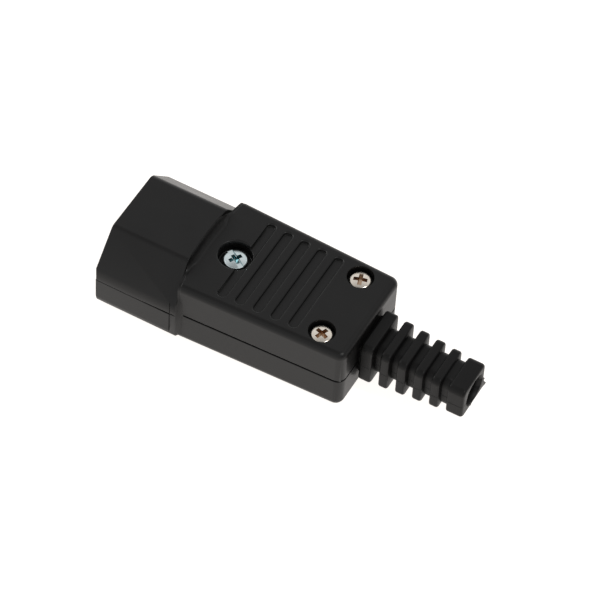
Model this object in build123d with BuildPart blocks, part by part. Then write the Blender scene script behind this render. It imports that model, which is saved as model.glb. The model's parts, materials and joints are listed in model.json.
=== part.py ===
# Rewirable line connector of the C13 pattern: half shells, cover screws, contacts and a cord boot.
# Millimetres. +X runs from the nose to the boot, +Z is up, and z = 0 is the underside that it lies on.
import os

from build123d import *

# Nose, the part that enters an appliance inlet
nose_width = 24.0
nose_height = 15.7
nose_length = 14.55
nose_bevel_width = 5.5
nose_bevel_drop = 5.95
nose_bevel_foot_radius = 2.6
nose_ridge_radius = 1.4
nose_lower_radius = 2.6
nose_front_edge = 0.2
nose_relief = 0.12  # the sides step in by this much behind the nose's length
front_wall = 2.2
half_step = 0.08  # the upper half starts this much behind the lower one

# Neck groove between nose and body
neck_gap = 0.35
neck_inset = 0.5
bevel_corner_share = 0.41  # how far the bevels' corners move along their faces for each mm of inset

# Body
body_length = 31.75
body_front_width = 22.3
body_rear_width = 20.1
body_height = 13.9
body_front_bow = 1.05
body_rear_corner_radius = 1.6
body_top_radius = 1.2
body_lower_radius = 1.7
split_height = 6.8
side_wall = 1.6
rear_wall = 1.8
roof = 2.2
floor = 1.8

# Parting line between the halves
seam_gap = 0.25
seam_depth = 0.4
nose_seam_length = 7.0

# Grip grooves across the top
groove_count = 5
groove_pitch = 3.33
groove_width = 1.55
groove_depth = 0.5
groove_end_margin = 1.95
first_groove_from_body_front = 7.65

# Front cover screw, a machine screw, with its counterbore, pillar and nut
front_screw_from_body_front = 5.46
front_counterbore_radius = 2.98
front_head_radius = 2.15
front_head_height = 1.4
front_head_recess = 0.9
front_shank_radius = 1.25
front_pillar_radius = 2.6
front_seat_wall = 1.1
nut_across_flats = 5.0
nut_thickness = 2.0
nut_recess = 0.6
nut_wall = 0.7
front_drive_angle = -32.0

# Rear cover screws, which cut their own thread in the lower pillars
rear_screw_from_body_rear = 5.95
rear_screw_spacing = 13.4
rear_counterbore_radius = 2.36
rear_head_radius = 1.9
rear_head_height = 1.25
rear_head_recess = 0.6
rear_shank_radius = 1.1
rear_pillar_radius = 2.95
rear_screw_grip = 3.8
near_drive_angle = -21.0
far_drive_angle = 18.0

# Cross drive and edge of the cover screws' heads
drive_arm_share = 0.62  # of the head's radius
drive_arm_width = 0.52
drive_depth = 0.75
drive_slot_depth = 0.4
head_edge = 0.4

# Contacts, for flat pins 4 mm high and 2 mm thick
pin_row_height = 6.0
pin_spacing = 14.0
earth_offset = 4.0
pin_slot_height = 4.6
pin_slot_width = 2.5
contact_gap = 2.1
contact_pinch = 0.35
leaf_thickness = 0.5
leaf_height = 4.2
leaf_mouth_setback = 0.3
terminal_width = 4.2
terminal_height = 4.6
terminal_length = 6.4
terminal_rear_from_body_front = 7.4
earth_plate_length = 8.0
earth_plate_thickness = 1.0
earth_plate_wall = 1.2
wire_bore_radius = 1.1
terminal_screw_radius = 1.1
terminal_head_radius = 1.7
terminal_head_height = 1.1
terminal_slot_width = 0.5
terminal_slot_depth = 0.6

# Cord clamp ribs in the two halves
clamp_rib_thickness = 2.0
clamp_saddle_radius = 2.55

# Cord boot
boot_axis_height = 7.15
boot_bore_radius = 2.4
boot_mouth_radius = 2.8
boot_mouth_depth = 0.5
boot_core_width = 6.5
boot_core_height = 6.3
boot_core_corner_radius = 1.6
boot_neck_width = 7.8
boot_neck_height = 7.0
boot_flange_overlap = 0.9
boot_flange_thickness = 1.4
boot_gap = 0.4
boot_first_ring = 2.25
boot_ring = 1.65
boot_ring_gap = 1.45
boot_ring_count = 4
boot_collar = 3.1
boot_first_width = 9.6
boot_first_height = 9.15
boot_last_width = 8.0
boot_last_height = 6.95
boot_corner_radius = 0.9
nib_rise = 0.5  # above the end's lower edge
nib_reach = 1.2
nib_height = 2.8
nib_width = 1.0
nib_thickness = 0.6
nib_setback = 0.3

# Clearances
running_clearance = 0.1
screw_clearance = 0.1
thread_clearance = 0.05
selection_band = 0.01

# Stations along the connector
boot_pitch = boot_ring + boot_ring_gap
boot_reach = boot_gap + boot_first_ring + boot_ring_gap + boot_ring_count * boot_pitch + boot_collar
overall_length = nose_length + neck_gap + body_length + boot_reach
nose_front_x = -overall_length / 2
slot_rear_x = nose_front_x + front_wall
nose_rear_x = nose_front_x + nose_length
body_front_x = nose_rear_x + neck_gap
body_corner_x = body_front_x + body_front_bow
body_rear_x = body_front_x + body_length
cavity_front_x = body_corner_x + side_wall
cavity_rear_x = body_rear_x - rear_wall
boot_front_x = body_rear_x + boot_gap
boot_end_x = body_rear_x + boot_reach

# Body's plan
body_front_half = body_front_width / 2
body_rear_half = body_rear_width / 2
bow_radius = (body_front_half**2 + body_front_bow**2) / (2 * body_front_bow)

# Screw places
front_screw_x = body_front_x + front_screw_from_body_front
front_pad_radius = front_counterbore_radius + front_seat_wall
nut_pillar_radius = nut_across_flats / 3**0.5 + nut_wall
rear_screw_x = body_rear_x - rear_screw_from_body_rear
rear_screw_y = rear_screw_spacing / 2

# Heights
roof_z = body_height - roof
front_counterbore_depth = front_head_recess + front_head_height
front_seat_z = body_height - front_counterbore_depth
front_pad_z = front_seat_z - front_seat_wall
rear_counterbore_depth = rear_head_recess + rear_head_height
rear_seat_z = body_height - rear_counterbore_depth
rear_tip_z = split_height - rear_screw_grip
nut_top_z = nut_recess + nut_thickness
nut_pillar_z = nut_top_z + nut_wall

# Contact places
leaf_front_x = slot_rear_x + leaf_mouth_setback
row_y = pin_spacing / 2
row_shelf_z = pin_row_height - terminal_height / 2
row_top_z = pin_row_height + terminal_height / 2
row_terminal_rear_x = body_front_x + terminal_rear_from_body_front
row_terminal_front_x = row_terminal_rear_x - terminal_length
row_screw_x = row_terminal_rear_x - terminal_length / 2
row_screw_reach = terminal_height / 2 - running_clearance
earth_height = pin_row_height + earth_offset
earth_seat_z = earth_height - leaf_height / 2
earth_plate_z = earth_height + leaf_height / 2
earth_top_z = earth_plate_z + earth_plate_thickness
earth_rear_x = front_screw_x - front_pad_radius - 2 * running_clearance
earth_plate_rear_x = nose_rear_x - earth_plate_wall
earth_screw_x = earth_plate_rear_x - earth_plate_length / 2
channel_width = terminal_width + 2 * running_clearance


def body_half_width(x):
    share = (x - body_front_x) / body_length
    return body_front_half + (body_rear_half - body_front_half) * share


def nose_section(inset=0.0):
    # Flat-topped outline with two bevelled upper corners, drawn about the centre plane
    half = nose_width / 2 - inset
    corner_shift = bevel_corner_share * inset
    ridge = nose_width / 2 - nose_bevel_width - corner_shift
    foot = nose_height - nose_bevel_drop - corner_shift
    top = nose_height - inset
    corners = [(-half, inset), (half, inset), (half, foot), (ridge, top), (-ridge, top), (-half, foot)]
    Polygon(*corners, align=None)
    feet = vertices().filter_by_position(Axis.Y, foot - selection_band, foot + selection_band)
    fillet(vertices().group_by(Axis.Y)[0], nose_lower_radius - inset)
    fillet(feet, nose_bevel_foot_radius - inset)
    fillet(vertices().group_by(Axis.Y)[-1], nose_ridge_radius - inset)


def block(x_from, x_to, width, z_from, z_to, y=0.0, mode=Mode.ADD):
    with Locations(((x_from + x_to) / 2, y, (z_from + z_to) / 2)):
        Box(x_to - x_from, width, z_to - z_from, mode=mode)


def outer_form(front_x):
    # Nose, whose rear follows the body's bow
    with BuildSketch(Plane.YZ.offset(front_x)) as nose:
        nose_section()
    extrude(nose.sketch, amount=body_corner_x + neck_gap - front_x)
    chamfer(faces().sort_by(Axis.X)[0].edges(), nose_front_edge)
    with BuildSketch() as bow:
        with Locations((nose_rear_x + bow_radius, 0)):
            Circle(bow_radius)
    extrude(bow.sketch, amount=nose_height, mode=Mode.SUBTRACT)
    for side in (-1, 1):
        block(nose_rear_x, cavity_front_x, 2 * nose_relief, 0, nose_height, side * nose_width / 2, Mode.SUBTRACT)
    # Neck, a smaller outline that lies within both the nose and the body
    with BuildSketch(Plane.YZ.offset(slot_rear_x)) as neck:
        nose_section(neck_inset)
        with Locations((0, body_height / 2)):
            Rectangle(body_front_width - 2 * neck_inset, body_height - 2 * neck_inset, mode=Mode.INTERSECT)
    extrude(neck.sketch, amount=cavity_front_x - slot_rear_x)
    add(body_form.part)


def body_cavity(base_z, top_z, pillar_radius):
    # Inside of the body, with the screw pillars and the cord rib left standing
    front_half = body_half_width(cavity_front_x) - side_wall
    rear_half = body_half_width(cavity_rear_x) - side_wall
    front_corners = [(cavity_front_x, -front_half), (cavity_front_x, front_half)]
    rear_corners = [(cavity_rear_x, rear_half), (cavity_rear_x, -rear_half)]
    with BuildSketch(Plane.XY.offset(base_z)) as room:
        Polygon(*front_corners, *rear_corners, align=None)
        with Locations((front_screw_x, 0)):
            Circle(pillar_radius, mode=Mode.SUBTRACT)
        with Locations((rear_screw_x, 0)):
            Rectangle(clamp_rib_thickness, rear_screw_spacing, mode=Mode.SUBTRACT)
        with Locations((rear_screw_x, -rear_screw_y), (rear_screw_x, rear_screw_y)):
            Circle(rear_pillar_radius, mode=Mode.SUBTRACT)
    extrude(room.sketch, amount=top_z - base_z, mode=Mode.SUBTRACT)


def contact_channels():
    # Pin slots through the front wall, then the channels that hold the contacts
    row_roof_z = row_top_z + running_clearance
    leaf_roof_z = earth_plate_z + running_clearance
    plate_roof_z = earth_top_z + running_clearance
    leaf_rear_x = earth_rear_x + running_clearance
    plate_rear_x = earth_plate_rear_x + running_clearance
    for y, pin_z in ((-row_y, pin_row_height), (row_y, pin_row_height), (0, earth_height)):
        slot_base_z = pin_z - pin_slot_height / 2
        slot_top_z = pin_z + pin_slot_height / 2
        block(nose_front_x, slot_rear_x, pin_slot_width, slot_base_z, slot_top_z, y, Mode.SUBTRACT)
    for y in (-row_y, row_y):
        block(slot_rear_x, row_terminal_rear_x, channel_width, row_shelf_z, row_roof_z, y, Mode.SUBTRACT)
    block(slot_rear_x, leaf_rear_x, channel_width, earth_seat_z, leaf_roof_z, 0, Mode.SUBTRACT)
    block(slot_rear_x, plate_rear_x, channel_width, earth_seat_z, plate_roof_z, 0, Mode.SUBTRACT)


def cord_saddle():
    with BuildSketch(Plane.YZ.offset(rear_screw_x - clamp_rib_thickness)) as saddle:
        with Locations((0, boot_axis_height)):
            Circle(clamp_saddle_radius)
    extrude(saddle.sketch, amount=2 * clamp_rib_thickness, mode=Mode.SUBTRACT)


def boot_window():
    window_width = boot_neck_width + 2 * running_clearance
    window_height = boot_neck_height + 2 * running_clearance
    with BuildSketch(Plane.YZ.offset(cavity_rear_x)) as window:
        with Locations((0, boot_axis_height)):
            RectangleRounded(window_width, window_height, boot_corner_radius)
    extrude(window.sketch, amount=rear_wall, mode=Mode.SUBTRACT)


def head_room(x, y, base_z, top_z):
    reach = terminal_head_radius + running_clearance
    block(x - reach, x + reach, 2 * reach, base_z, top_z, y, Mode.SUBTRACT)


def cover_screw(x, y, head_radius, head_height, shank_radius, seat_z, tip_z, drive_angle):
    # Round head on a plain shank, with a cross drive
    top_z = seat_z + head_height
    head = [(x, top_z), (x + head_radius - head_edge, top_z), (x + head_radius, top_z - head_edge)]
    seat = [(x + head_radius, seat_z), (x + shank_radius, seat_z)]
    with BuildSketch(Plane.XZ.offset(-y)) as profile:
        Polygon(*head, *seat, (x + shank_radius, tip_z), (x, tip_z), align=None)
    revolve(profile.sketch, axis=Axis((x, y, 0), (0, 0, 1)))
    arm = 2 * head_radius * drive_arm_share
    with BuildSketch(Plane.XY.offset(top_z)) as cross:
        with Locations((x, y)):
            Rectangle(arm, drive_arm_width, rotation=drive_angle)
            Rectangle(drive_arm_width, arm, rotation=drive_angle)
    extrude(cross.sketch, amount=-drive_depth, mode=Mode.SUBTRACT)


def spring_leaves(y, rear_x, base_z):
    # A pair of leaves that pinch the pin between them
    half_gap = contact_gap / 2
    pinch_x = leaf_front_x + terminal_length / 2
    with BuildSketch(Plane.XY.offset(base_z)) as leaves:
        for side in (-1, 1):
            inner = [
                (leaf_front_x, y + side * half_gap),
                (pinch_x, y + side * (half_gap - contact_pinch)),
                (2 * pinch_x - leaf_front_x, y + side * half_gap),
                (rear_x, y + side * half_gap),
            ]
            outer = [(point_x, point_y + side * leaf_thickness) for point_x, point_y in reversed(inner)]
            Polygon(*inner, *outer, align=None)
    extrude(leaves.sketch, amount=leaf_height)


def row_contact(y):
    # Leaves on a terminal block with a wire bore and a screw hole
    spring_leaves(y, row_terminal_front_x + leaf_thickness, pin_row_height - leaf_height / 2)
    block(row_terminal_front_x, row_terminal_rear_x, terminal_width, row_shelf_z, row_top_z, y)
    with BuildSketch(Plane.YZ.offset(row_terminal_front_x + leaf_thickness)) as wire_bore:
        with Locations((y, pin_row_height)):
            Circle(wire_bore_radius)
    extrude(wire_bore.sketch, amount=terminal_length, mode=Mode.SUBTRACT)
    with BuildSketch(Plane.XY.offset(pin_row_height)) as screw_hole:
        with Locations((row_screw_x, y)):
            Circle(terminal_screw_radius + thread_clearance)
    extrude(screw_hole.sketch, amount=terminal_height, mode=Mode.SUBTRACT)


def terminal_screw(x, y, seat_z, reach):
    with BuildSketch(Plane.XY.offset(seat_z - reach)) as shank:
        with Locations((x, y)):
            Circle(terminal_screw_radius)
    extrude(shank.sketch, amount=reach)
    with BuildSketch(Plane.XY.offset(seat_z)) as head:
        with Locations((x, y)):
            Circle(terminal_head_radius)
    extrude(head.sketch, amount=terminal_head_height)
    with BuildSketch(Plane.XY.offset(seat_z + terminal_head_height)) as slot:
        with Locations((x, y)):
            Rectangle(3 * terminal_head_radius, terminal_slot_width)
    extrude(slot.sketch, amount=-terminal_slot_depth, mode=Mode.SUBTRACT)


# Outer form of the body, widest at its bowed front
with BuildPart() as body_form:
    with BuildSketch():
        with BuildLine():
            ThreePointArc(
                (body_corner_x, -body_front_half), (body_front_x, 0), (body_corner_x, body_front_half)
            )
            Polyline(
                (body_corner_x, body_front_half), (body_rear_x, body_rear_half),
                (body_rear_x, -body_rear_half), (body_corner_x, -body_front_half),
            )
        make_face()
    extrude(amount=body_height)
    fillet(edges().filter_by(Axis.Z).group_by(Axis.X)[-1], body_rear_corner_radius)
    # Sides and rear are rounded at the top and underside, and the bowed front keeps its edge
    fillet(faces().sort_by(Axis.Z)[-1].edges().sort_by(Axis.X)[1:], body_top_radius)
    fillet(faces().sort_by(Axis.Z)[0].edges().sort_by(Axis.X)[1:], body_lower_radius)

# Upper shell
with BuildPart() as upper_shell:
    outer_form(nose_front_x + half_step)
    split(bisect_by=Plane.XY.offset(split_height), keep=Keep.TOP)
    # Grip grooves
    with BuildSketch(Plane.XY.offset(body_height)):
        for index in range(groove_count):
            groove_x = body_front_x + first_groove_from_body_front + index * groove_pitch
            groove_length = 2 * (body_half_width(groove_x) - groove_end_margin)
            with Locations((groove_x, 0)):
                SlotOverall(groove_length, groove_width, rotation=90)
    extrude(amount=-groove_depth, mode=Mode.SUBTRACT)
    # Parting line: a fine gap round the body, and one at each side of the nose that opens to the rear
    with BuildSketch(Plane.XY.offset(split_height)):
        for side in (-1, 1):
            Polygon(
                (body_corner_x, side * body_front_half), (body_rear_x, side * body_rear_half),
                (body_rear_x, side * (body_rear_half - seam_depth)),
                (body_corner_x, side * (body_front_half - seam_depth)), align=None,
            )
        with Locations((body_rear_x - seam_depth / 2, 0)):
            Rectangle(seam_depth, body_rear_width)
    extrude(amount=seam_gap, mode=Mode.SUBTRACT)
    seam_front_x = nose_rear_x - nose_seam_length
    for side in (-1, 1):
        with BuildSketch(Plane.XZ.offset(side * nose_width / 2)) as nose_seam:
            Polygon(
                (seam_front_x, split_height), (nose_rear_x, split_height),
                (nose_rear_x, split_height + seam_gap), align=None,
            )
        extrude(nose_seam.sketch, amount=-side * seam_depth, mode=Mode.SUBTRACT)
    # Inside: the body, the contact channels and room for the terminal screws' heads
    body_cavity(split_height, front_pad_z, front_pillar_radius)
    body_cavity(front_pad_z, roof_z, front_pad_radius)
    contact_channels()
    block(slot_rear_x, cavity_front_x, channel_width, split_height, front_pad_z, 0, Mode.SUBTRACT)
    head_height = terminal_head_height + running_clearance
    head_room(earth_screw_x, 0, earth_top_z, earth_top_z + head_height)
    for side in (-1, 1):
        head_room(row_screw_x, side * row_y, split_height, row_top_z + head_height)
    cord_saddle()
    boot_window()
    # Cover screw holes
    front_hole_radius = front_shank_radius + screw_clearance
    with Locations((front_screw_x, 0, body_height)):
        CounterBoreHole(front_hole_radius, front_counterbore_radius, front_counterbore_depth)
    rear_hole_radius = rear_shank_radius + screw_clearance
    with Locations((rear_screw_x, -rear_screw_y, body_height), (rear_screw_x, rear_screw_y, body_height)):
        CounterBoreHole(rear_hole_radius, rear_counterbore_radius, rear_counterbore_depth)

# Lower shell
with BuildPart() as lower_shell:
    outer_form(nose_front_x)
    split(bisect_by=Plane.XY.offset(split_height), keep=Keep.BOTTOM)
    # Inside: the body, with a shelf under the terminals and a rib under the earth contact
    body_cavity(floor, nut_pillar_z, nut_pillar_radius)
    body_cavity(nut_pillar_z, split_height, front_pillar_radius)
    shelf_width = 2 * (body_half_width(cavity_front_x) - side_wall)
    block(cavity_front_x, row_terminal_rear_x, shelf_width, floor, row_shelf_z)
    contact_channels()
    rib_width = terminal_width - 2 * running_clearance
    block(slot_rear_x, earth_rear_x, rib_width, row_shelf_z, earth_seat_z)
    cord_saddle()
    boot_window()
    # Front screw hole, with a pocket underneath for the nut
    with BuildSketch():
        with Locations((front_screw_x, 0)):
            RegularPolygon(nut_across_flats / 2 + running_clearance, 6, major_radius=False)
    extrude(amount=nut_top_z, mode=Mode.SUBTRACT)
    with Locations((front_screw_x, 0, split_height)):
        Hole(front_shank_radius + screw_clearance)
    # Blind pilot holes for the rear screws
    with Locations((rear_screw_x, -rear_screw_y, split_height), (rear_screw_x, rear_screw_y, split_height)):
        Hole(rear_shank_radius + thread_clearance, depth=rear_screw_grip + running_clearance)

# Front cover screw, with a slot across its cross drive
with BuildPart() as front_cover_screw:
    cover_screw(
        front_screw_x, 0, front_head_radius, front_head_height, front_shank_radius,
        front_seat_z, nut_recess / 2, front_drive_angle,
    )
    with BuildSketch(Plane.XY.offset(front_seat_z + front_head_height)):
        with Locations((front_screw_x, 0)):
            Rectangle(3 * front_head_radius, drive_arm_width, rotation=front_drive_angle)
    extrude(amount=-drive_slot_depth, mode=Mode.SUBTRACT)

# Front cover nut
with BuildPart() as front_cover_nut:
    with BuildSketch(Plane.XY.offset(nut_recess)):
        with Locations((front_screw_x, 0)):
            RegularPolygon(nut_across_flats / 2, 6, major_radius=False)
            Circle(front_shank_radius + thread_clearance, mode=Mode.SUBTRACT)
    extrude(amount=nut_thickness)

# Rear cover screws
with BuildPart() as rear_cover_screws:
    for side, drive_angle in ((-1, near_drive_angle), (1, far_drive_angle)):
        cover_screw(
            rear_screw_x, side * rear_screw_y, rear_head_radius, rear_head_height, rear_shank_radius,
            rear_seat_z, rear_tip_z, drive_angle,
        )

# Live and neutral contacts, one each side
with BuildPart() as live_contact:
    row_contact(-row_y)

with BuildPart() as neutral_contact:
    row_contact(row_y)

# Earth contact, with its terminal plate above the leaves
with BuildPart() as earth_contact:
    spring_leaves(0, earth_rear_x, earth_seat_z)
    plate_front_x = earth_plate_rear_x - earth_plate_length
    block(plate_front_x, earth_plate_rear_x, terminal_width, earth_plate_z, earth_top_z)
    with BuildSketch(Plane.XY.offset(earth_plate_z)):
        with Locations((earth_screw_x, 0)):
            Circle(terminal_screw_radius + thread_clearance)
    extrude(amount=earth_plate_thickness, mode=Mode.SUBTRACT)

# Terminal screws
with BuildPart() as terminal_screws:
    for side in (-1, 1):
        terminal_screw(row_screw_x, side * row_y, row_top_z, row_screw_reach)

with BuildPart() as earth_terminal_screw:
    terminal_screw(earth_screw_x, 0, earth_top_z, earth_plate_thickness)

# Cord boot: a flange held behind the rear wall, then rings on a slimmer core
with BuildPart() as strain_relief_boot:
    flange_width = boot_neck_width + 2 * boot_flange_overlap
    flange_height = boot_neck_height + 2 * boot_flange_overlap
    with BuildSketch(Plane.YZ.offset(cavity_rear_x - boot_flange_thickness)):
        with Locations((0, boot_axis_height)):
            RectangleRounded(flange_width, flange_height, boot_corner_radius)
    extrude(amount=boot_flange_thickness)
    ring_start = boot_front_x
    ring_length = boot_first_ring
    for index in range(boot_ring_count + 2):
        share = index / (boot_ring_count + 1)
        ring_width = boot_first_width + (boot_last_width - boot_first_width) * share
        ring_height = boot_first_height + (boot_last_height - boot_first_height) * share
        with BuildSketch(Plane.YZ.offset(ring_start)):
            with Locations((0, boot_axis_height)):
                RectangleRounded(ring_width, ring_height, boot_corner_radius)
        extrude(amount=ring_length)
        ring_start += ring_length + boot_ring_gap
        ring_length = boot_ring if index < boot_ring_count else boot_collar
    with BuildSketch(Plane.YZ.offset(cavity_rear_x)):
        with Locations((0, boot_axis_height)):
            RectangleRounded(boot_neck_width, boot_neck_height, boot_corner_radius)
    extrude(amount=rear_wall + boot_gap + boot_first_ring / 2)
    with BuildSketch(Plane.YZ.offset(boot_front_x)):
        with Locations((0, boot_axis_height)):
            RectangleRounded(boot_core_width, boot_core_height, boot_core_corner_radius)
    extrude(amount=boot_reach - boot_gap - boot_collar / 2)
    # Torn nib of flash at the lower far corner of the end
    nib_y = boot_last_width / 2
    nib_z = boot_axis_height - boot_last_height / 2 + nib_rise
    with BuildSketch(Plane.YZ.offset(boot_end_x - nib_setback - nib_thickness)):
        Polygon(
            (nib_y - nib_width, nib_z), (nib_y + nib_reach, nib_z),
            (nib_y - nib_setback, nib_z + nib_height), align=None,
        )
    extrude(amount=nib_thickness)
    # Cord bore, with a widened mouth at the end
    with BuildSketch(Plane.YZ.offset(cavity_rear_x - boot_flange_thickness)):
        with Locations((0, boot_axis_height)):
            Circle(boot_bore_radius)
    extrude(amount=boot_flange_thickness + rear_wall + boot_reach, mode=Mode.SUBTRACT)
    with Locations(Location((boot_end_x - boot_mouth_depth / 2, 0, boot_axis_height), (0, 90, 0))):
        Cone(boot_bore_radius, boot_mouth_radius, boot_mouth_depth, mode=Mode.SUBTRACT)

pieces = {
    "upper_shell": upper_shell,
    "lower_shell": lower_shell,
    "front_cover_screw": front_cover_screw,
    "front_cover_nut": front_cover_nut,
    "rear_cover_screws": rear_cover_screws,
    "live_contact": live_contact,
    "neutral_contact": neutral_contact,
    "earth_contact": earth_contact,
    "terminal_screws": terminal_screws,
    "earth_terminal_screw": earth_terminal_screw,
    "strain_relief_boot": strain_relief_boot,
}
os.makedirs("parts", exist_ok=True)
for name, piece in pieces.items():
    piece.part.label = name
    export_step(piece.part, f"parts/{name}.step")
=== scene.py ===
import json
import math

import bmesh
import bpy
from mathutils import Matrix, Vector


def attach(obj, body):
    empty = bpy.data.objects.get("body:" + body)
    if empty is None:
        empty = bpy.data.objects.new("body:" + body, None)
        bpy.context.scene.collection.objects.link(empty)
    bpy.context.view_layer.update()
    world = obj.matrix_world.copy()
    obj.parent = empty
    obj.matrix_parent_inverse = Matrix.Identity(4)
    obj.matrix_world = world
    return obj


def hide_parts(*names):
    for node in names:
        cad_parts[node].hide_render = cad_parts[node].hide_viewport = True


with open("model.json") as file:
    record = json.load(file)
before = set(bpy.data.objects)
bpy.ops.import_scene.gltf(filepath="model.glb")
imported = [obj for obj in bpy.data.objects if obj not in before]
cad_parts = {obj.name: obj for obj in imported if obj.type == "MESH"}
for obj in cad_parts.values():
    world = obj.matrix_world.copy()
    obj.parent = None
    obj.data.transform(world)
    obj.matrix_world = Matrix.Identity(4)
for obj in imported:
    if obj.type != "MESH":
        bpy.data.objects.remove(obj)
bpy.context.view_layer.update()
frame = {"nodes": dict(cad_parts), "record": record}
scene = bpy.context.scene
scene.view_settings.view_transform = "Standard"
mm = 0.001
print("frame loaded:", len(frame["nodes"]), "nodes")


# small helpers for shader nodes

def addNode(tree, kind, **values):
    node = tree.nodes.new(kind)
    for name, value in values.items():
        setattr(node, name, value)
    return node


def setInputs(node, **values):
    # an underscore stands for a space in the socket's name
    for name, value in values.items():
        node.inputs[name.replace("_", " ")].default_value = value
    return node


def feed(tree, socket, value):
    # a plain value is set on the socket, another node's output is linked to it
    if isinstance(value, (int, float, tuple)):
        socket.default_value = value
    else:
        tree.links.new(value, socket)


def mathNode(tree, operation, first, second):
    node = addNode(tree, "ShaderNodeMath", operation=operation)
    feed(tree, node.inputs[0], first)
    feed(tree, node.inputs[1], second)
    return node.outputs[0]


def mixColors(tree, factor, first, second):
    # a colour mix keeps its factor at 0, its two colours at 6 and 7 and its result at 2
    node = addNode(tree, "ShaderNodeMix", data_type="RGBA")
    for index, value in ((0, factor), (6, first), (7, second)):
        feed(tree, node.inputs[index], value)
    return node.outputs[2]


# small helpers for meshes

meshCare = {
    "weld": 0.001 * mm,  # points closer than this become one
    "flatBefore": math.radians(0.5),  # faces that meet flatter than this are joined before edges are softened
    "flatAfter": math.radians(0.2),  # and after
    "sharpFrom": 50.0,  # degrees between two faces
    "evenWeight": 50,
    "evenWeightSoft": 60,  # for what comes from the solids
}


def joinRings(bm, rings):
    # faces from each ring of points to the next; a ring may be a single point
    for first, second in zip(rings, rings[1:]):
        count = max(len(first), len(second))
        for index in range(count):
            after = (index + 1) % count
            corners = (
                first[index % len(first)], first[after % len(first)],
                second[after % len(second)], second[index % len(second)],
            )
            bm.faces.new(list(dict.fromkeys(corners)))


def meshFrom(bm, name):
    # a closed shape's mesh, with its faces turned outwards
    bmesh.ops.recalc_face_normals(bm, faces=bm.faces)
    mesh = bpy.data.meshes.new(name)
    bm.to_mesh(mesh)
    bm.free()
    return mesh


def smoothMesh(mesh, sharpFrom):
    mesh.polygons.foreach_set("use_smooth", [True] * len(mesh.polygons))
    mesh.set_sharp_from_angle(angle=math.radians(sharpFrom))


def evenNormals(thing, weight, keepSharp=True):
    even = thing.modifiers.new("even", "WEIGHTED_NORMAL")
    even.weight = weight
    even.keep_sharp = keepSharp


# camera, from the photograph's own viewing angle

cameraSettings = {
    "azimuth": 26.001,  # degrees, 0 looks along +Y
    "elevation": 51.582,
    "roll": 4.061,
    "distance": 614.49 * mm,
    "lookAt": Vector((-0.870, 1.496, 7.734)) * mm,
    "lens": 218.22,
    "sensor": 36.0,
    "clipStart": 0.05,
}


def placeCamera():
    s = cameraSettings
    azimuth, elevation, roll = (math.radians(s[key]) for key in ("azimuth", "elevation", "roll"))
    level = math.cos(elevation)
    back = Vector((math.sin(azimuth) * level, -math.cos(azimuth) * level, math.sin(elevation)))
    right = Vector((math.cos(azimuth), math.sin(azimuth), 0.0))
    up = back.cross(right)
    rolledRight = right * math.cos(roll) + up * math.sin(roll)
    rolledUp = up * math.cos(roll) - right * math.sin(roll)
    turn = Matrix((rolledRight, rolledUp, back)).transposed().to_4x4()
    camera = bpy.data.objects.new("camera", bpy.data.cameras.new("camera"))
    camera.data.lens = s["lens"]
    camera.data.sensor_width = s["sensor"]
    camera.data.clip_start = s["clipStart"]
    camera.matrix_world = Matrix.Translation(s["lookAt"] + back * s["distance"]) @ turn
    scene.collection.objects.link(camera)
    scene.camera = camera


placeCamera()
print("camera placed")


# floor, lamps and the studio around them

studio = {
    "floorSize": 3.0,
    "floorDrop": 0.02 * mm,  # keeps the floor clear of the underside
    "floorColor": (0.36, 0.355, 0.35, 1.0),
    "floorGlow": 0.98,  # what the camera and reflections see on top of the lamps' light
    "floorGlowColor": (1.0, 0.96, 0.925, 1.0),
    "tent": [
        # sine of the elevation, brightness: pale walls that darken towards the open top
        (0.0, 1.0), (0.2, 0.92), (0.45, 0.78), (0.7, 0.74), (0.85, 0.62), (0.95, 0.3), (1.0, 0.2),
    ],
    "darkSide": (0.3, 0.8, 0.5),  # the tent's right end: from and to along x, and its brightness there
    "lamps": [
        # name, place in metres, size in metres, watts, colour
        ("leftSoftbox", (-0.86, 0.11, 0.50), 0.2, 2.0, (1.0, 0.99, 0.97)),
        ("rightSoftbox", (0.49, 0.0, 0.87), 0.2, 2.0, (1.0, 1.0, 1.0)),
    ],
}


def seenDirectly(tree):
    # one for rays from the camera, a reflection or a refraction
    path = addNode(tree, "ShaderNodeLightPath")
    seen = mathNode(tree, "MAXIMUM", path.outputs["Is Camera Ray"], path.outputs["Is Glossy Ray"])
    return mathNode(tree, "MAXIMUM", seen, path.outputs["Is Transmission Ray"])


def floorMaterial():
    material = bpy.data.materials.new("paleFloor")
    material.use_nodes = True
    tree = material.node_tree
    tree.nodes.clear()
    diffuse = setInputs(addNode(tree, "ShaderNodeBsdfDiffuse"), Color=studio["floorColor"])
    glow = setInputs(addNode(tree, "ShaderNodeEmission"), Color=studio["floorGlowColor"])
    glowStrength = mathNode(tree, "MULTIPLY", seenDirectly(tree), studio["floorGlow"])
    tree.links.new(glowStrength, glow.inputs["Strength"])
    both = addNode(tree, "ShaderNodeAddShader")
    tree.links.new(diffuse.outputs[0], both.inputs[0])
    tree.links.new(glow.outputs[0], both.inputs[1])
    output = addNode(tree, "ShaderNodeOutputMaterial")
    tree.links.new(both.outputs[0], output.inputs["Surface"])
    return material


def buildFloor():
    half = studio["floorSize"] / 2
    drop = -studio["floorDrop"]
    corners = [(-half, -half, drop), (half, -half, drop), (half, half, drop), (-half, half, drop)]
    mesh = bpy.data.meshes.new("floor")
    mesh.from_pydata(corners, [], [(0, 1, 2, 3)])
    mesh.materials.append(floorMaterial())
    floor = bpy.data.objects.new("floor", mesh)
    scene.collection.objects.link(floor)


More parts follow.
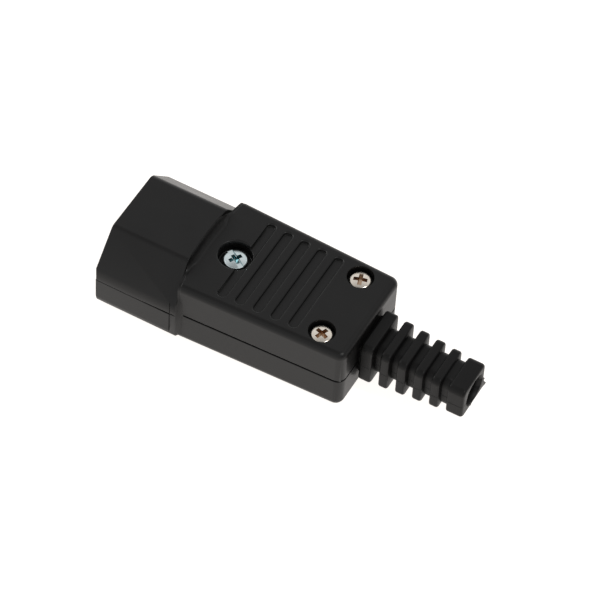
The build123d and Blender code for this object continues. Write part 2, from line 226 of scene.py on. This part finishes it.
def buildWorld():
    world = bpy.data.worlds.new("studio")
    world.use_nodes = True
    scene.world = world
    tree = world.node_tree
    tree.nodes.clear()
    direction = addNode(tree, "ShaderNodeTexCoord")
    split = addNode(tree, "ShaderNodeSeparateXYZ")
    tree.links.new(direction.outputs["Generated"], split.inputs[0])
    ramp = addNode(tree, "ShaderNodeValToRGB")
    tree.links.new(split.outputs["Z"], ramp.inputs["Fac"])
    stops = ramp.color_ramp.elements
    while len(stops) < len(studio["tent"]):
        stops.new(1.0)
    for stop, (height, level) in zip(stops, studio["tent"]):
        stop.position = height
        stop.color = (level, level, level, 1.0)
    start, end, level = studio["darkSide"]
    side = addNode(tree, "ShaderNodeMapRange", interpolation_type="SMOOTHSTEP")
    setInputs(side, From_Min=start, From_Max=end, To_Min=1.0, To_Max=level)
    tree.links.new(split.outputs["X"], side.inputs["Value"])
    background = addNode(tree, "ShaderNodeBackground")
    tree.links.new(ramp.outputs["Color"], background.inputs["Color"])
    tree.links.new(side.outputs["Result"], background.inputs["Strength"])
    output = addNode(tree, "ShaderNodeOutputWorld")
    tree.links.new(background.outputs[0], output.inputs["Surface"])


def buildLamps():
    for name, place, size, watts, color in studio["lamps"]:
        data = bpy.data.lights.new(name, "AREA")
        data.shape = "DISK"
        data.size = size
        data.energy = watts
        data.color = color
        lamp = bpy.data.objects.new(name, data)
        lamp.location = place
        lamp.rotation_euler = (-Vector(place)).to_track_quat("-Z", "Y").to_euler()
        scene.collection.objects.link(lamp)


buildFloor()
buildWorld()
buildLamps()
print("studio built")


# grain that all the finishes share

grainNoise = {
    "roughness": 0.55,
    "layers": [
        # input and its usual size in mm, detail, output
        ("Grain Size", 0.12, 2.0, "Height"),
        ("Cloud Size", 6.0, 3.0, "Cloud"),
    ],
}


def mouldGrainGroup():
    # fine spark-eroded grain and slow flow clouds of a moulded surface
    group = bpy.data.node_groups.new("mouldGrain", "ShaderNodeTree")
    sockets = group.interface
    for sizeName, size, detail, outName in grainNoise["layers"]:
        sockets.new_socket(sizeName, in_out="INPUT", socket_type="NodeSocketFloat").default_value = size
        sockets.new_socket(outName, in_out="OUTPUT", socket_type="NodeSocketFloat")
    given = addNode(group, "NodeGroupInput")
    result = addNode(group, "NodeGroupOutput")
    place = addNode(group, "ShaderNodeTexCoord")
    for sizeName, size, detail, outName in grainNoise["layers"]:
        scale = mathNode(group, "DIVIDE", 1.0 / mm, given.outputs[sizeName])
        noise = addNode(group, "ShaderNodeTexNoise")
        setInputs(noise, Detail=detail, Roughness=grainNoise["roughness"])
        group.links.new(place.outputs["Object"], noise.inputs["Vector"])
        group.links.new(scale, noise.inputs["Scale"])
        group.links.new(noise.outputs["Fac"], result.inputs[outName])
    return group


mouldGrain = mouldGrainGroup()


def grainedMaterial(name, s, **values):
    # a material with the grain placed in it and its clouded colour
    material = bpy.data.materials.new(name)
    material.use_nodes = True
    tree = material.node_tree
    shader = setInputs(tree.nodes["Principled BSDF"], **values)
    grain = addNode(tree, "ShaderNodeGroup", node_tree=mouldGrain)
    setInputs(grain, Grain_Size=s["grainSize"], Cloud_Size=s["cloudSize"])
    color = mixColors(tree, grain.outputs["Cloud"], s["dark"], s["light"])
    return material, tree, shader, grain, color


def spreadRoughness(tree, shader, mask, s):
    spread = mathNode(tree, "MULTIPLY", mask, s["roughSpread"])
    tree.links.new(mathNode(tree, "ADD", spread, s["rough"]), shader.inputs["Roughness"])


def mouldedBlack(name, s):
    material, tree, shader, grain, color = grainedMaterial(
        name, s, IOR=s["ior"], Specular_IOR_Level=s["specular"],
    )
    tree.links.new(color, shader.inputs["Base Color"])
    spreadRoughness(tree, shader, grain.outputs["Cloud"], s)
    bump = setInputs(addNode(tree, "ShaderNodeBump"), Strength=s["bump"], Distance=s["bumpDepth"])
    tree.links.new(grain.outputs["Height"], bump.inputs["Height"])
    tree.links.new(bump.outputs[0], shader.inputs["Normal"])
    return material


def plainMetal(name, s):
    material, tree, shader, grain, color = grainedMaterial(name, s, Metallic=1.0)
    # painted shade: faces inside the cover screws' cross drive are mixed towards the darker recess colour,
    # standing in for the shade that falls in the recess
    recess = addNode(tree, "ShaderNodeAttribute", attribute_name="recess")  # only cover screws carry it
    color = mixColors(tree, recess.outputs["Fac"], color, s["recess"])
    tree.links.new(color, shader.inputs["Base Color"])
    spreadRoughness(tree, shader, grain.outputs["Height"], s)
    return material


housingFinish = {
    "dark": (0.0025, 0.0024, 0.0024, 1.0),
    "light": (0.0055, 0.0052, 0.005, 1.0),
    "rough": 0.34,
    "roughSpread": 0.08,
    "ior": 1.5,
    "specular": 0.31,
    "grainSize": 0.16,
    "cloudSize": 5.0,
    "bump": 0.4,
    "bumpDepth": 0.02 * mm,
}
bootFinish = dict(housingFinish, rough=0.4, specular=0.21)
zincFinish = {
    "dark": (0.6, 0.7, 0.72, 1.0),
    "light": (0.85, 0.93, 0.94, 1.0),
    # painted shade for the faces inside the cross drive
    "recess": (0.24, 0.36, 0.38, 1.0),
    "rough": 0.12,
    "roughSpread": 0.2,
    "grainSize": 0.3,
    "cloudSize": 1.2,
}
nickelFinish = dict(
    zincFinish,
    dark=(0.82, 0.72, 0.6, 1.0),
    light=(0.98, 0.93, 0.85, 1.0),
    # painted shade for the faces inside the cross drive
    recess=(0.52, 0.38, 0.27, 1.0),
)
brassFinish = dict(zincFinish, dark=(0.6, 0.4, 0.14, 1.0), light=(0.8, 0.6, 0.26, 1.0))

finishes = {
    "housing": mouldedBlack("mouldedHousing", housingFinish),
    "boot_rubber": mouldedBlack("mouldedBoot", bootFinish),
    "zinc_steel": plainMetal("brightZinc", zincFinish),
    "nickel_steel": plainMetal("brightNickel", nickelFinish),
    "contact_brass": plainMetal("contactBrass", brassFinish),
}


def dressNodes():
    slots = {part["node"]: part["material_slot"] for part in frame["record"]["subparts"]}
    for name, node in frame["nodes"].items():
        node.data.materials.clear()
        node.data.materials.append(finishes[slots[name]])
        node.data.polygons.foreach_set("material_index", [0] * len(node.data.polygons))


dressNodes()
print("nodes dressed")


# softened edges on the lower half and the small inner parts

softEdges = {
    "widths": {
        # node: edge width in mm
        "lower_shell": 0.11,
        "front_cover_nut": 0.1,
        "live_contact": 0.05,
        "neutral_contact": 0.05,
        "earth_contact": 0.05,
    },
    "segments": 3,
}


def joinFlatFaces(thing, name, limit):
    flat = thing.modifiers.new(name, "DECIMATE")
    flat.decimate_type = "DISSOLVE"
    flat.angle_limit = limit


def softenEdges(thing, width):
    thing.data.polygons.foreach_set("use_smooth", [True] * len(thing.data.polygons))
    weld = thing.modifiers.new("weld", "WELD")
    weld.merge_threshold = meshCare["weld"]
    joinFlatFaces(thing, "flat", meshCare["flatBefore"])
    split = thing.modifiers.new("split", "TRIANGULATE")
    split.ngon_method = "BEAUTY"
    split.min_vertices = 5
    soft = thing.modifiers.new("soft", "BEVEL")
    soft.limit_method = "ANGLE"
    soft.angle_limit = math.radians(meshCare["sharpFrom"])
    soft.width = width * mm
    soft.segments = softEdges["segments"]
    soft.use_clamp_overlap = False
    soft.loop_slide = False
    joinFlatFaces(thing, "again", meshCare["flatAfter"])
    evenNormals(thing, meshCare["evenWeightSoft"], keepSharp=False)


for nodeName, edgeWidth in softEdges["widths"].items():
    softenEdges(frame["nodes"][nodeName], edgeWidth)
print("edges softened")


def newPiece(name, mesh, slot, node=None):
    mesh.materials.append(finishes[slot])
    piece = bpy.data.objects.new(name, mesh)
    scene.collection.objects.link(piece)
    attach(piece, "root")
    if node:
        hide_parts(node)
    return piece


# places in mm that more than one of the pieces below needs

housingPlaces = {
    "noseRear": -18.575,
    "bodyTop": 13.9,
    "bodyHalf": 11.15,
    "rearScrewNear": (7.575, -6.7),
    "rearScrewFar": (7.575, 6.7),
}


# upper half with softened rims; the rear counterbores lie too near the top's edge and keep theirs

upperShell = {
    "grooveFloor": 13.4,
    "heightSlack": 0.01,
    "rimsFrom": -16.5,  # the grooves and the front counterbore lie between these
    "rimsTo": 5.5,
    "rimsHalf": 9.0,
    "rimWidth": 0.34,
    "floorWidth": 0.1,
    "width": 0.2,
    "segments": 3,
    "roundness": 0.5,
    "crispRadius": 2.5,  # around the rear screws
    "crispFrom": 13.0,
    "stepFrom": 11.8,  # the shallow step in the nose's sides is finer than the soft edges
    "stepSlack": 0.1,
}


def onNoseStep(vert):
    s = upperShell
    away = abs(vert.co.x / mm - housingPlaces["noseRear"])
    return away < s["stepSlack"] and abs(vert.co.y / mm) > s["stepFrom"]


def onRearCounterbore(vert):
    s = upperShell
    if vert.co.z <= s["crispFrom"] * mm:
        return False
    centers = (housingPlaces["rearScrewNear"], housingPlaces["rearScrewFar"])
    return any(math.hypot(vert.co.x / mm - x, vert.co.y / mm - y) < s["crispRadius"] for x, y in centers)


def staysCrisp(edge):
    return all(onNoseStep(vert) for vert in edge.verts) or all(onRearCounterbore(vert) for vert in edge.verts)


def liesOnTop(edge, height):
    # along a groove or the front counterbore, at the given height
    s = upperShell
    return all(
        abs(vert.co.z / mm - height) < s["heightSlack"]
        and s["rimsFrom"] < vert.co.x / mm < s["rimsTo"]
        and abs(vert.co.y / mm) < s["rimsHalf"]
        for vert in edge.verts
    )


def buildUpperShell():
    s = upperShell
    node = frame["nodes"]["upper_shell"]
    bm = bmesh.new()
    bm.from_mesh(node.data)
    bm.transform(node.matrix_world)
    bmesh.ops.remove_doubles(bm, verts=bm.verts, dist=meshCare["weld"])
    bmesh.ops.dissolve_limit(bm, angle_limit=meshCare["flatBefore"], verts=bm.verts, edges=bm.edges)
    manySided = [face for face in bm.faces if len(face.verts) > 4]
    bmesh.ops.triangulate(bm, faces=manySided, ngon_method="BEAUTY")
    limit = math.radians(meshCare["sharpFrom"])
    edges = [edge for edge in bm.edges if edge.calc_face_angle(0.0) > limit and not staysCrisp(edge)]
    rims = [edge for edge in edges if liesOnTop(edge, housingPlaces["bodyTop"])]
    floors = [edge for edge in edges if liesOnTop(edge, s["grooveFloor"])]
    others = [edge for edge in edges if edge not in rims and edge not in floors]
    for soft, width in ((others, s["width"]), (floors, s["floorWidth"]), (rims, s["rimWidth"])):
        bmesh.ops.bevel(
            bm, geom=[edge for edge in soft if edge.is_valid], affect="EDGES", offset_type="OFFSET",
            offset=width * mm, segments=s["segments"], profile=s["roundness"],
            clamp_overlap=False, loop_slide=False,
        )
    bmesh.ops.dissolve_limit(bm, angle_limit=meshCare["flatAfter"], verts=bm.verts, edges=bm.edges)
    for face in bm.faces:
        face.smooth = True
    for edge in bm.edges:
        edge.smooth = edge.calc_face_angle(0.0) < limit
    mesh = bpy.data.meshes.new("upperShell")
    bm.to_mesh(mesh)
    bm.free()
    evenNormals(newPiece("upperShell", mesh, "housing", "upper_shell"), meshCare["evenWeightSoft"])


buildUpperShell()
print("upper half softened")


# soft crease that fills the neck between the nose and the body

crease = {
    "bowRadius": 59.726,  # of the nose's rear face, seen from above
    "topRadius": 1.2,  # rounding between the body's top and sides
    "bevelFoot": (12.0, 9.75),  # y and z of the nose's bevel
    "bevelRidge": (6.5, 15.7),
    "recess": 0.06,  # how far it lies below the body where it doesn't climb
    "lift": 0.004,  # and above it where it climbs in full
    "climb": 1.6,  # how far it runs up the nose's rear step
    "stepLeft": 0.2,  # what stays bare of that step
    "fadeWidth": 0.5,  # share of the top's half over which the climb fades out
    "topShares": [1.1, 1.0, 0.95, 0.9, 0.85, 0.8, 0.75, 0.7, 0.65, 0.6, 0.55, 0.5, 0.35, 0.2],
    "sides": [(1.7, 0.58), (2.6, 0.76), (5.5, 0.77), (9.6, 0.77), (10.45, 0.05)],  # height and climb
    "cornerSteps": 4,
    "reach": 1.25,  # how far it runs onto the body at the full climb
    "sideReach": 1.15,
    "shortest": 0.64,
    "depth": 0.45,
    "hold": 0.1,  # how far it goes into the nose where it climbs
    "holdFlat": 0.02,
    "climbSeen": 0.05,
    # shares of the reach and of the climb
    "profile": [
        (0.0, 0.98), (0.06, 0.88), (0.14, 0.72), (0.25, 0.53),
        (0.38, 0.36), (0.53, 0.21), (0.7, 0.09), (0.86, 0.025),
    ],
    "sideProfile": [
        (0.1, 0.995), (0.2, 0.98), (0.3, 0.92), (0.42, 0.79),
        (0.55, 0.58), (0.68, 0.34), (0.8, 0.15), (0.91, 0.04),
    ],
}


def creasePath():
    # y, z, outward direction and climb, from the near side's foot over the top to the far one's
    s = crease
    bodyTop, bodyHalf = housingPlaces["bodyTop"], housingPlaces["bodyHalf"]
    (footY, footZ), (ridgeY, ridgeZ) = s["bevelFoot"], s["bevelRidge"]
    slope = (ridgeZ - footZ) / (footY - ridgeY)
    topEdge = footY - (bodyTop - footZ) / slope
    upwards = Vector((0.0, 1.0))
    half = [(bodyHalf - s["recess"], z, Vector((1.0, 0.0)), climb) for z, climb in s["sides"]]
    centerY, centerZ = bodyHalf - s["topRadius"], bodyTop - s["topRadius"]
    for step in range(s["cornerSteps"] + 1):
        angle = math.radians(90 * step / s["cornerSteps"])
        out = Vector((math.cos(angle), math.sin(angle)))
        around = out * (s["topRadius"] - s["recess"])
        half.append((centerY + around.x, centerZ + around.y, out, 0.0))
    for share in s["topShares"]:
        y = topEdge * share
        noseTop = min(ridgeZ, footZ + (footY - y) * slope)
        fade = max(0.0, min(1.0, (1 - share) / s["fadeWidth"]))
        eased = s["climb"] * fade * fade * (3 - 2 * fade)
        climb = max(0.0, min(eased, noseTop - bodyTop - s["stepLeft"]))
        sink = (s["recess"] + s["lift"]) * (1 - fade) ** 2
        half.append((y, bodyTop + s["lift"] - sink, upwards, climb))
    near = [(-y, z, Vector((-out.x, out.y)), climb) for y, z, out, climb in half]
    return near + [(0.0, bodyTop + s["lift"], upwards, s["climb"])] + list(reversed(half))


def buildCrease():
    s = crease
    bm = bmesh.new()
    rows = []
    for y, z, out, climb in creasePath():
        bow = s["bowRadius"] - math.sqrt(s["bowRadius"] ** 2 - y * y)
        noseX = housingPlaces["noseRear"] + bow
        onSide = abs(out.x) == 1.0
        profile = s["sideProfile"] if onSide else s["profile"]
        reach = s["sideReach"] if onSide else max(s["shortest"], s["reach"] * climb / s["climb"])
        start = noseX - (s["hold"] if climb > s["climbSeen"] else s["holdFlat"])
        section = [(start, -s["depth"]), (start, climb)]
        section += [(noseX + reach * along, climb * share) for along, share in profile]
        section += [(noseX + reach, 0.0), (noseX + reach, -s["depth"])]
        rows.append([
            bm.verts.new(Vector((x, y + out.x * offset, z + out.y * offset)) * mm) for x, offset in section
        ])
    joinRings(bm, rows)
    bm.faces.new(rows[0])
    bm.faces.new(list(reversed(rows[-1])))
    mesh = meshFrom(bm, "neckCrease")
    smoothMesh(mesh, meshCare["sharpFrom"])
    newPiece("neckCrease", mesh, "housing")


buildCrease()
print("crease built")


# cord boot: rounded rings on a slim core, with the mould line and the torn flash at its end

boot = {
    "axisHeight": 7.15,
    "flange": (10.325, 11.725, 9.6, 8.8),  # from x, to x, width, height
    "flangeCorner": 0.9,
    "flangeRim": 0.15,
    "neck": (7.8, 7.0),
    "core": (6.5, 6.3),
    "coreCorner": 1.6,
    "rings": [(13.925, 16.175), (17.625, 19.275), (20.725, 22.375), (23.825, 25.475), (26.925, 28.575)],
    "collar": (30.025, 33.125),
    "firstSize": (9.6, 9.15),
    "lastSize": (8.0, 6.95),
    "corner": 1.1,
    "smallestCorner": 0.3,
    "cornerLimit": 0.95,  # of half the width or height
    "cornerSteps": 8,
    "rim": 0.36,
    "endRim": 0.55,
    "rimSteps": 4,
    "draft": 0.12,
    "mouldLine": -0.35,  # below the axis
    "mouldLineRise": 0.045,
    "mouldLineHalf": 0.09,
    "bore": 2.4,
    "mouth": 2.75,
    "mouthStretch": 1.2,  # worn wider towards the torn side
    "mouthDepth": 0.9,
    "lip": 0.08,
    "lipRound": 0.3,
    "flash": [
        # y and z of the torn flash's outline, in the plane of the end
        (3.1, 6.7), (3.9, 6.3), (4.25, 5.9), (4.62, 5.55), (4.28, 5.3), (4.55, 4.75),
        (5.4, 3.45), (5.2, 3.3), (4.3, 3.62), (3.5, 3.75), (3.1, 4.6),
    ],
    "flashSmall": [(-1.0, 4.0), (-0.55, 3.62), (-0.3, 3.42), (-0.05, 3.5), (0.15, 3.8), (-0.4, 4.1)],
    "flashFrom": 32.45,
    "flashTo": 33.0,
    "flashTaper": 0.99,
}


def ringSection(width, height, corner):
    # closed loop of y and z about the axis, with three points across the mould line on each side
    s = boot
    halfWidth, halfHeight = width / 2, height / 2
    corner = min(corner, halfWidth * s["cornerLimit"], halfHeight * s["cornerLimit"])
    flatY, flatZ = halfWidth - corner, halfHeight - corner
    bead = ((-s["mouldLineHalf"], 0.0), (0.0, s["mouldLineRise"]), (s["mouldLineHalf"], 0.0))
    points = []
    for quarter, (signY, signZ) in enumerate(((1, 1), (-1, 1), (-1, -1), (1, -1))):
        for step in range(s["cornerSteps"] + 1):
            angle = math.radians(90 * quarter + 90 * step / s["cornerSteps"])
            y = flatY * signY + corner * math.cos(angle)
            z = flatZ * signZ + corner * math.sin(angle)
            points.append((y, z))
        if signY == signZ:
            points += [(signY * flatY * share, signZ * halfHeight) for share in (0.5, 0.0, -0.5)]
        else:
            points += [(signY * (halfWidth + rise), s["mouldLine"] - signY * offset) for offset, rise in bead]
    return points


def roundedBlock(x0, x1, size, corner, rims):
    # loops of a block whose front and rear rims are rounded
    steps = boot["rimSteps"]
    turns = [math.radians(90 * step / steps) for step in range(steps + 1)]
    rows = []
    for x, sign, rim, order in ((x0, 1, rims[0], turns), (x1, -1, rims[1], turns[::-1])):
        for turn in order:
            inset = rim * (1 - math.sin(turn))
            along = rim * (1 - math.cos(turn))
            kept = max(corner - inset, boot["smallestCorner"])
            rows.append((x + sign * along, size[0] - 2 * inset, size[1] - 2 * inset, kept))
    return rows


def bootRows():
    # x, width, height and corner of each loop, from the flange to the end
    s = boot
    x0, x1, width, height = s["flange"]
    rows = roundedBlock(x0, x1, (width, height), s["flangeCorner"], (s["flangeRim"], s["flangeRim"]))
    rows += [(x, *s["neck"], s["flangeCorner"]) for x in (x1, s["rings"][0][0])]
    spans = s["rings"] + [s["collar"]]
    last = len(spans) - 1
    for index, (x0, x1) in enumerate(spans):
        share = index / last
        size = [start + (end - start) * share for start, end in zip(s["firstSize"], s["lastSize"])]
        if index > 0:
            rows.append((x0 - s["draft"], *s["core"], s["coreCorner"]))
        rows += roundedBlock(x0, x1, size, s["corner"], (s["rim"], s["rim"] if index < last else s["endRim"]))
        if index < last:
            rows.append((x1 + s["draft"], *s["core"], s["coreCorner"]))
    return rows


def mouthRows():
    # x, radius and stretch of each loop, from the end's face through the bore to the front
    s = boot
    endX, frontX = s["collar"][1], s["flange"][0]
    lip, lipRound = s["lip"], s["lip"] * s["lipRound"]
    return [
        (endX, s["mouth"] + lip, s["mouthStretch"]),
        (endX - lipRound, s["mouth"] + lipRound, s["mouthStretch"]),
        (endX - lip, s["mouth"], s["mouthStretch"]),
        (endX - s["mouthDepth"], s["bore"], 1.0),
        (frontX, s["bore"], 1.0),
    ]


def addFlash(bm, outline):
    # thin plate with the given outline, narrower at its free side
    s = boot
    front = [bm.verts.new(Vector((s["flashFrom"], y, z)) * mm) for y, z in outline]
    rear = [bm.verts.new(Vector((s["flashTo"], y * s["flashTaper"], z)) * mm) for y, z in outline]
    bm.faces.new(front)
    bm.faces.new(list(reversed(rear)))
    for index in range(len(outline)):
        after = (index + 1) % len(outline)
        bm.faces.new((front[after], front[index], rear[index], rear[after]))


def buildBoot():
    s = boot
    loops = []
    for x, width, height, corner in bootRows():
        loops.append([(x, y, s["axisHeight"] + z) for y, z in ringSection(width, height, corner)])
    angles = [math.atan2(z - s["axisHeight"], y) for x, y, z in loops[-1]]
    for x, radius, stretch in mouthRows():
        loop = []
        for angle in angles:
            y = radius * math.cos(angle)
            loop.append((x, y * stretch if y > 0 else y, s["axisHeight"] + radius * math.sin(angle)))
        loops.append(loop)
    bm = bmesh.new()
    rings = [[bm.verts.new(Vector(point) * mm) for point in loop] for loop in loops]
    joinRings(bm, rings + rings[:1])
    addFlash(bm, s["flash"])
    addFlash(bm, s["flashSmall"])
    mesh = meshFrom(bm, "ribbedBoot")
    smoothMesh(mesh, meshCare["sharpFrom"])
    evenNormals(newPiece("ribbedBoot", mesh, "boot_rubber", "strain_relief_boot"), meshCare["evenWeight"])


buildBoot()
print("boot built")


# cover screws: turned heads with a cross drive, and threaded shanks

frontScrew = {
    "places": [(-12.765, 0.0, -32.0)],  # x, y and the drive's turn in degrees
    "seat": 11.6,
    "top": 13.0,
    "radius": 2.15,
    "rim": 0.4,
    "dome": 0.2,
    "armReach": 1.3,
    "armWidth": 0.72,
    "armDepth": 1.0,
    "slotWidth": 1.05,
    "slotDepth": 0.36,
    "shank": 1.25,
    "root": 1.03,
    "pitch": 0.45,
    "tip": 0.3,
    "pointLength": 0.3,
}
rearScrews = {
    "places": [(*housingPlaces["rearScrewNear"], -21.0), (*housingPlaces["rearScrewFar"], 18.0)],
    "seat": 12.05,
    "top": 13.3,
    "radius": 1.9,
    "rim": 0.32,
    "dome": 0.14,
    "armReach": 1.3,
    "armWidth": 0.72,
    "armDepth": 0.9,
    "slotWidth": 0.0,
    "slotDepth": 0.0,
    "shank": 1.1,
    "root": 0.78,
    "pitch": 0.85,
    "tip": 3.0,
    "pointLength": 1.6,
}
screwMaking = {
    "headSteps": 72,
    "seatEdge": 0.12,
    "rimSteps": 5,
    "rimSquash": 0.9,
    "domeSteps": 4,
    "cutterAbove": 0.2,
    "armLengths": (2.1, 1.1),  # of the arm's reach, at the cutter's top and bottom
    "armWidths": (1.08, 0.7),  # of the arm's width
    "slotLength": 2.4,  # of the head's radius
    "slotTaper": 0.86,
    "threadSteps": 28,
    "rowsPerTurn": 6,
    "crest": 1.3,  # above one, the thread's crest is flat
    "plainNeck": 0.4,
    "shankSunk": 0.2,
    "pointEnd": 0.25,  # of the radius
    "recessFrom": 0.02,  # depths at which a face counts as inside the drive
    "recessSlack": 0.1,
    "recessSteep": 0.7,
    "sharpFrom": 32.0,
}


def turnedRing(bm, radius, z, steps):
    if radius == 0.0:
        return [bm.verts.new(Vector((0, 0, z)) * mm)]
    turns = [2 * math.pi * step / steps for step in range(steps)]
    return [bm.verts.new(Vector((radius * math.cos(t), radius * math.sin(t), z)) * mm) for t in turns]


def domeHeight(s, radius):
    # height of the head's slightly crowned top
    edge = s["radius"] - s["rim"]
    return s["top"] - s["dome"] * (min(radius, edge) / edge) ** 2


def headProfile(s):
    # radius and height pairs, from the axis at the seat around to the axis at the top
    m = screwMaking
    edge = s["radius"] - s["rim"]
    profile = [
        (0.0, s["seat"]),
        (s["radius"] - m["seatEdge"], s["seat"]),
        (s["radius"], s["seat"] + m["seatEdge"]),
    ]
    for step in range(m["rimSteps"] + 1):
        angle = math.radians(90 * step / m["rimSteps"])
        drop = s["rim"] * m["rimSquash"] * (1 - math.sin(angle))
        profile.append((edge + s["rim"] * math.cos(angle), domeHeight(s, edge) - drop))
    for step in range(1, m["domeSteps"] + 1):
        radius = edge * (1 - step / m["domeSteps"])
        profile.append((radius, domeHeight(s, radius)))
    return profile


def markShadedRecess(mesh, s):
    # tells the finish which faces lie inside the drive, so that it darkens them as painted shade
    m = screwMaking
    mask = mesh.attributes.new("recess", "FLOAT_COLOR", "CORNER")
    for face in mesh.polygons:
        center = face.center / mm
        radius = min(math.hypot(center.x - x, center.y - y) for x, y, turn in s["places"])
        depth = domeHeight(s, radius) - center.z
        within = radius < s["radius"] - s["rim"]
        sunk = m["recessFrom"] < depth < s["armDepth"] + m["recessSlack"]
        steep = abs(face.normal.z) < m["recessSteep"]
        deep = depth > s["slotDepth"] + m["recessSlack"]
        level = 1.0 if within and sunk and (steep or deep) else 0.0
        for corner in face.loop_indices:
            mask.data[corner].color = (level, level, level, 1.0)


def taperedBar(upper, lower):
    # bar along x, each end given as length, width and height
    corners = []
    for length, width, z in (lower, upper):
        x, y = length / 2, width / 2
        corners += [(-x, -y, z), (x, -y, z), (x, y, z), (-x, y, z)]
    mesh = bpy.data.meshes.new("cutter")
    mesh.from_pydata(
        [tuple(value * mm for value in corner) for corner in corners], [],
        [(3, 2, 1, 0), (4, 5, 6, 7), (0, 1, 5, 4), (1, 2, 6, 5), (2, 3, 7, 6), (3, 0, 4, 7)],
    )
    return mesh


def driveBars(s):
    # upper and lower end and turn of each bar that cuts the drive
    m = screwMaking
    above = s["top"] + m["cutterAbove"]
    arm = [
        (s["armReach"] * length, s["armWidth"] * width, z)
        for length, width, z in zip(m["armLengths"], m["armWidths"], (above, s["top"] - s["armDepth"]))
    ]
    bars = [(*arm, 0.0), (*arm, 90.0)]
    if s["slotWidth"]:
        length = s["radius"] * m["slotLength"]
        slotFloor = (length, s["slotWidth"] * m["slotTaper"], s["top"] - s["slotDepth"])
        bars.append(((length, s["slotWidth"], above), slotFloor, 0.0))
    return bars


def cutHead(s):
    # head with its drive recess, about the origin's axis
    bm = bmesh.new()
    joinRings(bm, [turnedRing(bm, radius, z, screwMaking["headSteps"]) for radius, z in headProfile(s)])
    head = bpy.data.objects.new("head", meshFrom(bm, "head"))
    scene.collection.objects.link(head)
    cutters = []
    for upper, lower, turn in driveBars(s):
        cutter = bpy.data.objects.new("cutter", taperedBar(upper, lower))
        cutter.rotation_euler = (0, 0, math.radians(turn))
        scene.collection.objects.link(cutter)
        cutters.append(cutter)
        cut = head.modifiers.new("cut", "BOOLEAN")
        cut.operation = "DIFFERENCE"
        cut.solver = "EXACT"
        cut.object = cutter
    bpy.context.view_layer.update()
    done = bpy.data.meshes.new_from_object(head.evaluated_get(bpy.context.evaluated_depsgraph_get()))
    for thing in [head] + cutters:
        old = thing.data
        bpy.data.objects.remove(thing)
        bpy.data.meshes.remove(old)
    return done


def threadRadius(s, z, turn):
    # follows a helix, with a plain neck under the head and a tapering point
    m = screwMaking
    wave = abs(((z / s["pitch"] - turn) % 1.0) - 0.5) * 2
    radius = s["root"] + (s["shank"] - s["root"]) * min(1.0, wave * m["crest"])
    if z > s["seat"] - m["plainNeck"]:
        radius = s["shank"]
    return radius * min(1.0, m["pointEnd"] + (1 - m["pointEnd"]) * (z - s["tip"]) / s["pointLength"])


def addThread(bm, s):
    m = screwMaking
    top, tip = s["seat"] + m["shankSunk"], s["tip"]
    rows = int((top - tip) / s["pitch"] * m["rowsPerTurn"])
    rings = []
    for row in range(rows + 1):
        z = tip + (top - tip) * row / rows
        ring = []
        for step in range(m["threadSteps"]):
            turn = step / m["threadSteps"]
            angle = 2 * math.pi * turn
            radius = threadRadius(s, z, turn)
            ring.append(bm.verts.new(Vector((radius * math.cos(angle), radius * math.sin(angle), z)) * mm))
        rings.append(ring)
    joinRings(bm, rings)
    bm.faces.new(list(reversed(rings[0])))
    bm.faces.new(rings[-1])


def buildScrews(name, s, slot, node):
    headMesh = cutHead(s)
    bm = bmesh.new()
    for x, y, turn in s["places"]:
        one = bmesh.new()
        one.from_mesh(headMesh)
        addThread(one, s)
        turned = Matrix.Rotation(math.radians(turn), 4, "Z")
        one.transform(Matrix.Translation(Vector((x, y, 0)) * mm) @ turned)
        joined = bpy.data.meshes.new("joined")
        one.to_mesh(joined)
        one.free()
        bm.from_mesh(joined)
        bpy.data.meshes.remove(joined)
    bpy.data.meshes.remove(headMesh)
    mesh = meshFrom(bm, name)
    markShadedRecess(mesh, s)
    smoothMesh(mesh, screwMaking["sharpFrom"])
    evenNormals(newPiece(name, mesh, slot, node), meshCare["evenWeight"])


buildScrews("frontScrew", frontScrew, "zinc_steel", "front_cover_screw")
buildScrews("rearScrews", rearScrews, "nickel_steel", "rear_cover_screws")
print("screws built")
